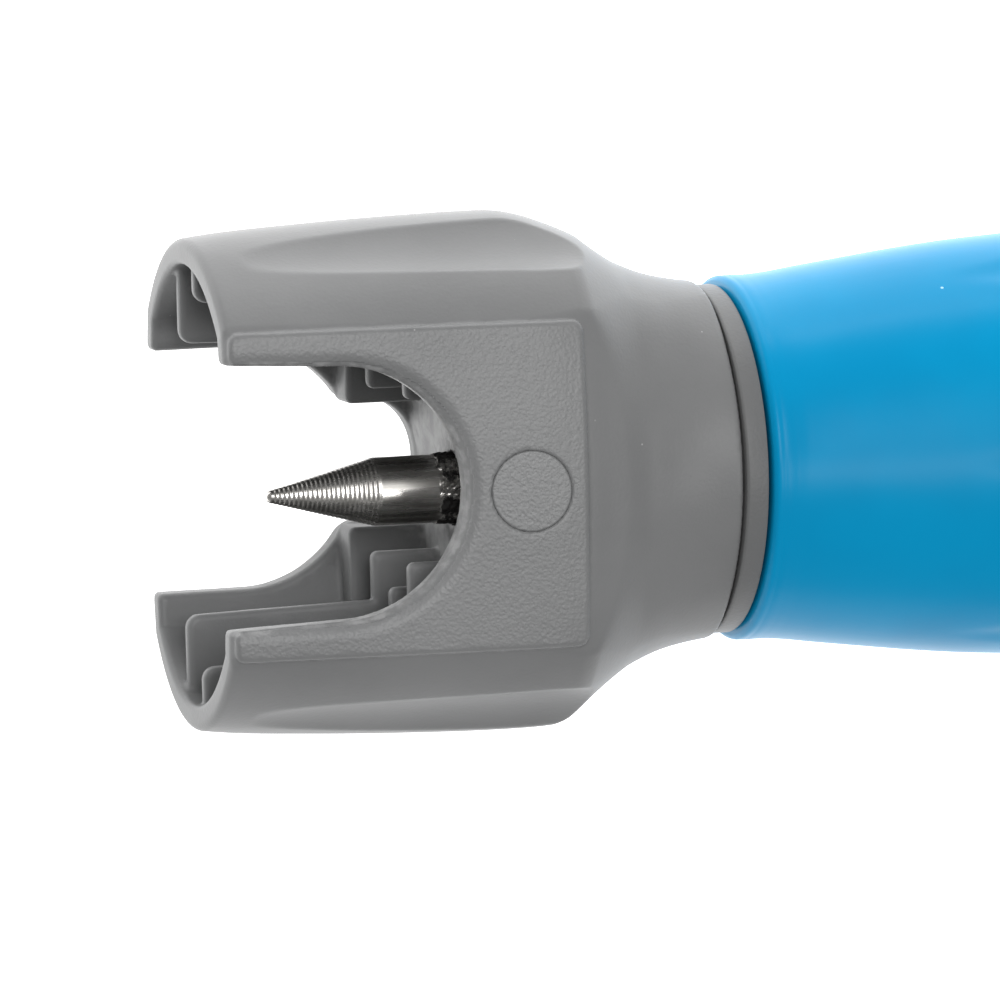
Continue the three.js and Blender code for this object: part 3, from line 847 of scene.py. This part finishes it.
# Flute depth at (s, angle): a cosine hollow round each of six angles, widening and deepening from a
# point at either end.
def fluteDepth(s, turn):
    sector = 2 * math.pi / grip["flutes"]
    offset = (turn + math.pi / 2 + sector / 2) % sector - sector / 2
    fade = smoothStep(grip["fluteFront"], grip["fluteFront"] + 12, s)
    fade = fade * smoothStep(grip["fluteRear"], grip["fluteRear"] - 14, s)
    width = math.radians(grip["fluteWidth"]) * (0.25 + 0.75 * fade)
    across = np.cos(np.clip(offset / width, -1, 1) * math.pi / 2) ** 2
    return grip["fluteDepth"] * across * fade


# The outer surface is an oval whose half height and half depth follow s, less the flutes. The bore is
# round, with its y held to the flats of the spine inside it.
def gripShape(s, radius, turn):
    outer = radius > 50
    halfY = smoothCurve(grip["halfHeight"], s)
    halfZ = smoothCurve(grip["halfDepth"], s)
    ease = np.where(outer, radius - 100, 0)
    hollow = fluteDepth(s, turn)
    shrink = (halfY - hollow + ease) / halfY
    y = np.where(outer, halfY * shrink * np.cos(turn), radius * np.cos(turn))
    z = np.where(outer, halfZ * shrink * np.sin(turn), radius * np.sin(turn))
    flatBore = np.abs(radius - grip["bore"]) < 0.5
    return s, np.where(flatBore, np.clip(y, -grip["flat"], grip["flat"]), y), z


# Outline of the sleeve: 100 plus an easing stands for the outer surface, other radii are the bore.
def buildGrip():
    start, end = sleeveBox[0].x - seamX, sleeveBox[1].x - seamX
    bend = np.linspace(0, 1, 6) * math.pi / 2
    edge = grip["edge"]
    outside = np.concatenate([np.linspace(start, 4, 60), np.linspace(4, end - edge, 300)[1:]])
    outer = np.stack([outside, np.full_like(outside, 100.0)], -1)
    rear = np.stack([end - edge + edge * np.sin(bend), 100 - edge + edge * np.cos(bend)], -1)
    pocket, pocketFront, bore = grip["pocket"], grip["pocketFront"], grip["bore"]
    inner = [(end, 12.0), (end, pocket), (pocketFront, pocket), (pocketFront, 8),
             (pocketFront, grip["screwHole"]), (grip["boreRear"] + 0.05, grip["screwHole"]),
             (grip["boreRear"], bore), (60, bore), (30, bore), (start, bore), (start, 11.2)]
    path = np.vstack([outer, rear[1:], inner])
    points, faces = revolve(path, grip["sides"], gripShape)
    return makePiece("blueGrip", points, faces, blue, "handle", ["grip_sleeve"])


buildGrip()
print("grip ready")


# Butt cap: an oval disc with a large rounded edge, on a round plug.

cap = {"face": 12.0, "edge": 3.15, "front": 102.0, "rim": 0.6, "squash": 0.14, "plug": 9.9, "plugFront": 98.6,
       "sides": 200}


# The disc is pressed to an oval: its depth shrinks by the squash between radius 9 and 15.
def capShape(s, radius, turn):
    oval = s > cap["front"] - 0.1
    squash = np.where(oval, 1 - cap["squash"] * np.clip((radius - 9) / 6, 0, 1), 1)
    return s, radius * np.cos(turn), radius * squash * np.sin(turn)


def buildCap():
    start, plugFront, plugRadius = cap["front"], cap["plugFront"], cap["plug"]
    bend = np.linspace(0, 1, 16) * math.pi / 2
    edgeStart = start + cap["rim"]
    edge = np.stack([edgeStart + 2.4 * np.sin(bend), cap["face"] + cap["edge"] * np.cos(bend)], -1)
    front = [(plugFront, 0), (plugFront, 5), (plugFront, plugRadius - 0.3), (plugFront + 0.3, plugRadius),
             (start - 0.05, plugRadius), (start, plugRadius + 0.3), (start, 14.7), (start + 0.15, 15.05)]
    path = np.vstack([front, edge, [(buttS, 9), (buttS, 6), (buttS, 3), (buttS, 0)]])
    points, faces = turnedSolid(path, cap["sides"], capShape)
    return makePiece("buttCap", points, faces, blue, "handle", ["butt_cap"])


buildCap()
print("cap ready")

innerFinishes = {"cross_dowel": plainSteel, "retaining_ring": plainSteel, "journal_o_ring": rubber,
                 "thrust_washer": acetal, "thread_insert": brass, "core_screw": plainSteel,
                 "screw_washer": plainSteel}
for node, material in innerFinishes.items():
    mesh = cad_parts[node].data
    mesh.materials.clear()
    mesh.materials.append(material)
print("inner pieces finished")


# Stage

stage = {
    "azimuth": 15.6, "elevation": 5.99, "roll": -1.31, "distance": 650.0, "lens": 339.4,
    "target": (-15.695, -2.136), "floor": (0.9, 0.9, 0.9),
    "glowReach": (-0.03, 0.06), "glow": (1.0, 2.2), "world": 0.38,
    # each light: name, place, size, power, and the place along the tool that it is aimed at
    "lights": [("topSoftbox", (60, 560, 60), (260, 90), 0.5, -10),
               ("frontSoftbox", (-60, 180, 620), (300, 300), 2.3, -10),
               ("sheenSoftbox", (150, -60, 600), (120, 120), 0.6, -25)],
}


def buildCamera():
    a, e, r = (math.radians(stage[k]) for k in ("azimuth", "elevation", "roll"))
    # the tool is seen from above its upper flank, with the point to the left
    forward = Vector((math.sin(a) * math.cos(e), -math.sin(e), -math.cos(a) * math.cos(e)))
    right = Vector((math.cos(a), 0, math.sin(a)))
    upward = right.cross(forward)
    across = right * math.cos(r) + upward * math.sin(r)
    over = upward * math.cos(r) - right * math.sin(r)
    data = bpy.data.cameras.new("camera")
    data.lens = stage["lens"]
    data.sensor_width = 36
    data.clip_start, data.clip_end = 0.01, 20
    camera = bpy.data.objects.new("camera", data)
    bpy.context.scene.collection.objects.link(camera)
    target = Vector((stage["target"][0] + seamX, stage["target"][1], 0)) * mm
    place = target - forward * stage["distance"] * mm
    turn = Matrix((across, over, -forward)).transposed().to_4x4()
    camera.matrix_world = Matrix.Translation(place) @ turn
    bpy.context.scene.camera = camera
    return camera


def addLight(name, place, size, power, target, colour=(1, 1, 1)):
    data = bpy.data.lights.new(name, "AREA")
    data.shape = "RECTANGLE"
    data.size, data.size_y = (side * mm for side in size)
    data.energy = power
    data.color = colour
    light = bpy.data.objects.new(name, data)
    bpy.context.scene.collection.objects.link(light)
    light.location = Vector(place) * mm
    aim = Vector(target) * mm - light.location
    light.rotation_euler = aim.to_track_quat("-Z", "Y").to_euler()
    return light


def buildStage():
    lowest = min(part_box(node)[0].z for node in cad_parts)
    half = 4.0
    mesh = bpy.data.meshes.new("floor")
    corners = [(-half, -half, lowest), (half, -half, lowest), (half, half, lowest), (-half, half, lowest)]
    mesh.from_pydata(corners, [], [(0, 1, 2, 3)])
    material, nodes, links, shader = newMaterial("paleFloor", 0.9)
    place = nodes.new("ShaderNodeTexCoord").outputs["Object"]
    soft = noiseNode(nodes, links, place, 8.0, 2.0)
    pale = stage["floor"]
    colour = mixColour(nodes, links, soft.outputs["Fac"], pale, tuple(c * 0.985 for c in pale))
    links.new(colour, shader.inputs["Base Color"])
    # the floor glows like a light table, more on the far side of the tool
    split = nodes.new("ShaderNodeSeparateXYZ")
    links.new(place, split.inputs["Vector"])
    glow = rangeNode(nodes, links, split.outputs["Y"], *stage["glowReach"], *stage["glow"])
    shader.inputs["Emission Color"].default_value = (1, 1, 1, 1)
    links.new(glow, shader.inputs["Emission Strength"])
    mesh.materials.append(material)
    floor = bpy.data.objects.new("floor", mesh)
    bpy.context.scene.collection.objects.link(floor)
    world = bpy.data.worlds.new("studio")
    world.use_nodes = True
    world.node_tree.nodes["Background"].inputs["Color"].default_value = (1, 1, 1, 1)
    world.node_tree.nodes["Background"].inputs["Strength"].default_value = stage["world"]
    bpy.context.scene.world = world
    bpy.context.scene.view_settings.view_transform = "Standard"
    for name, (s, y, z), size, power, targetS in stage["lights"]:
        addLight(name, (seamX + s, y, z), size, power, (seamX + targetS, 0, 0))


buildCamera()
buildStage()
print("stage ready")
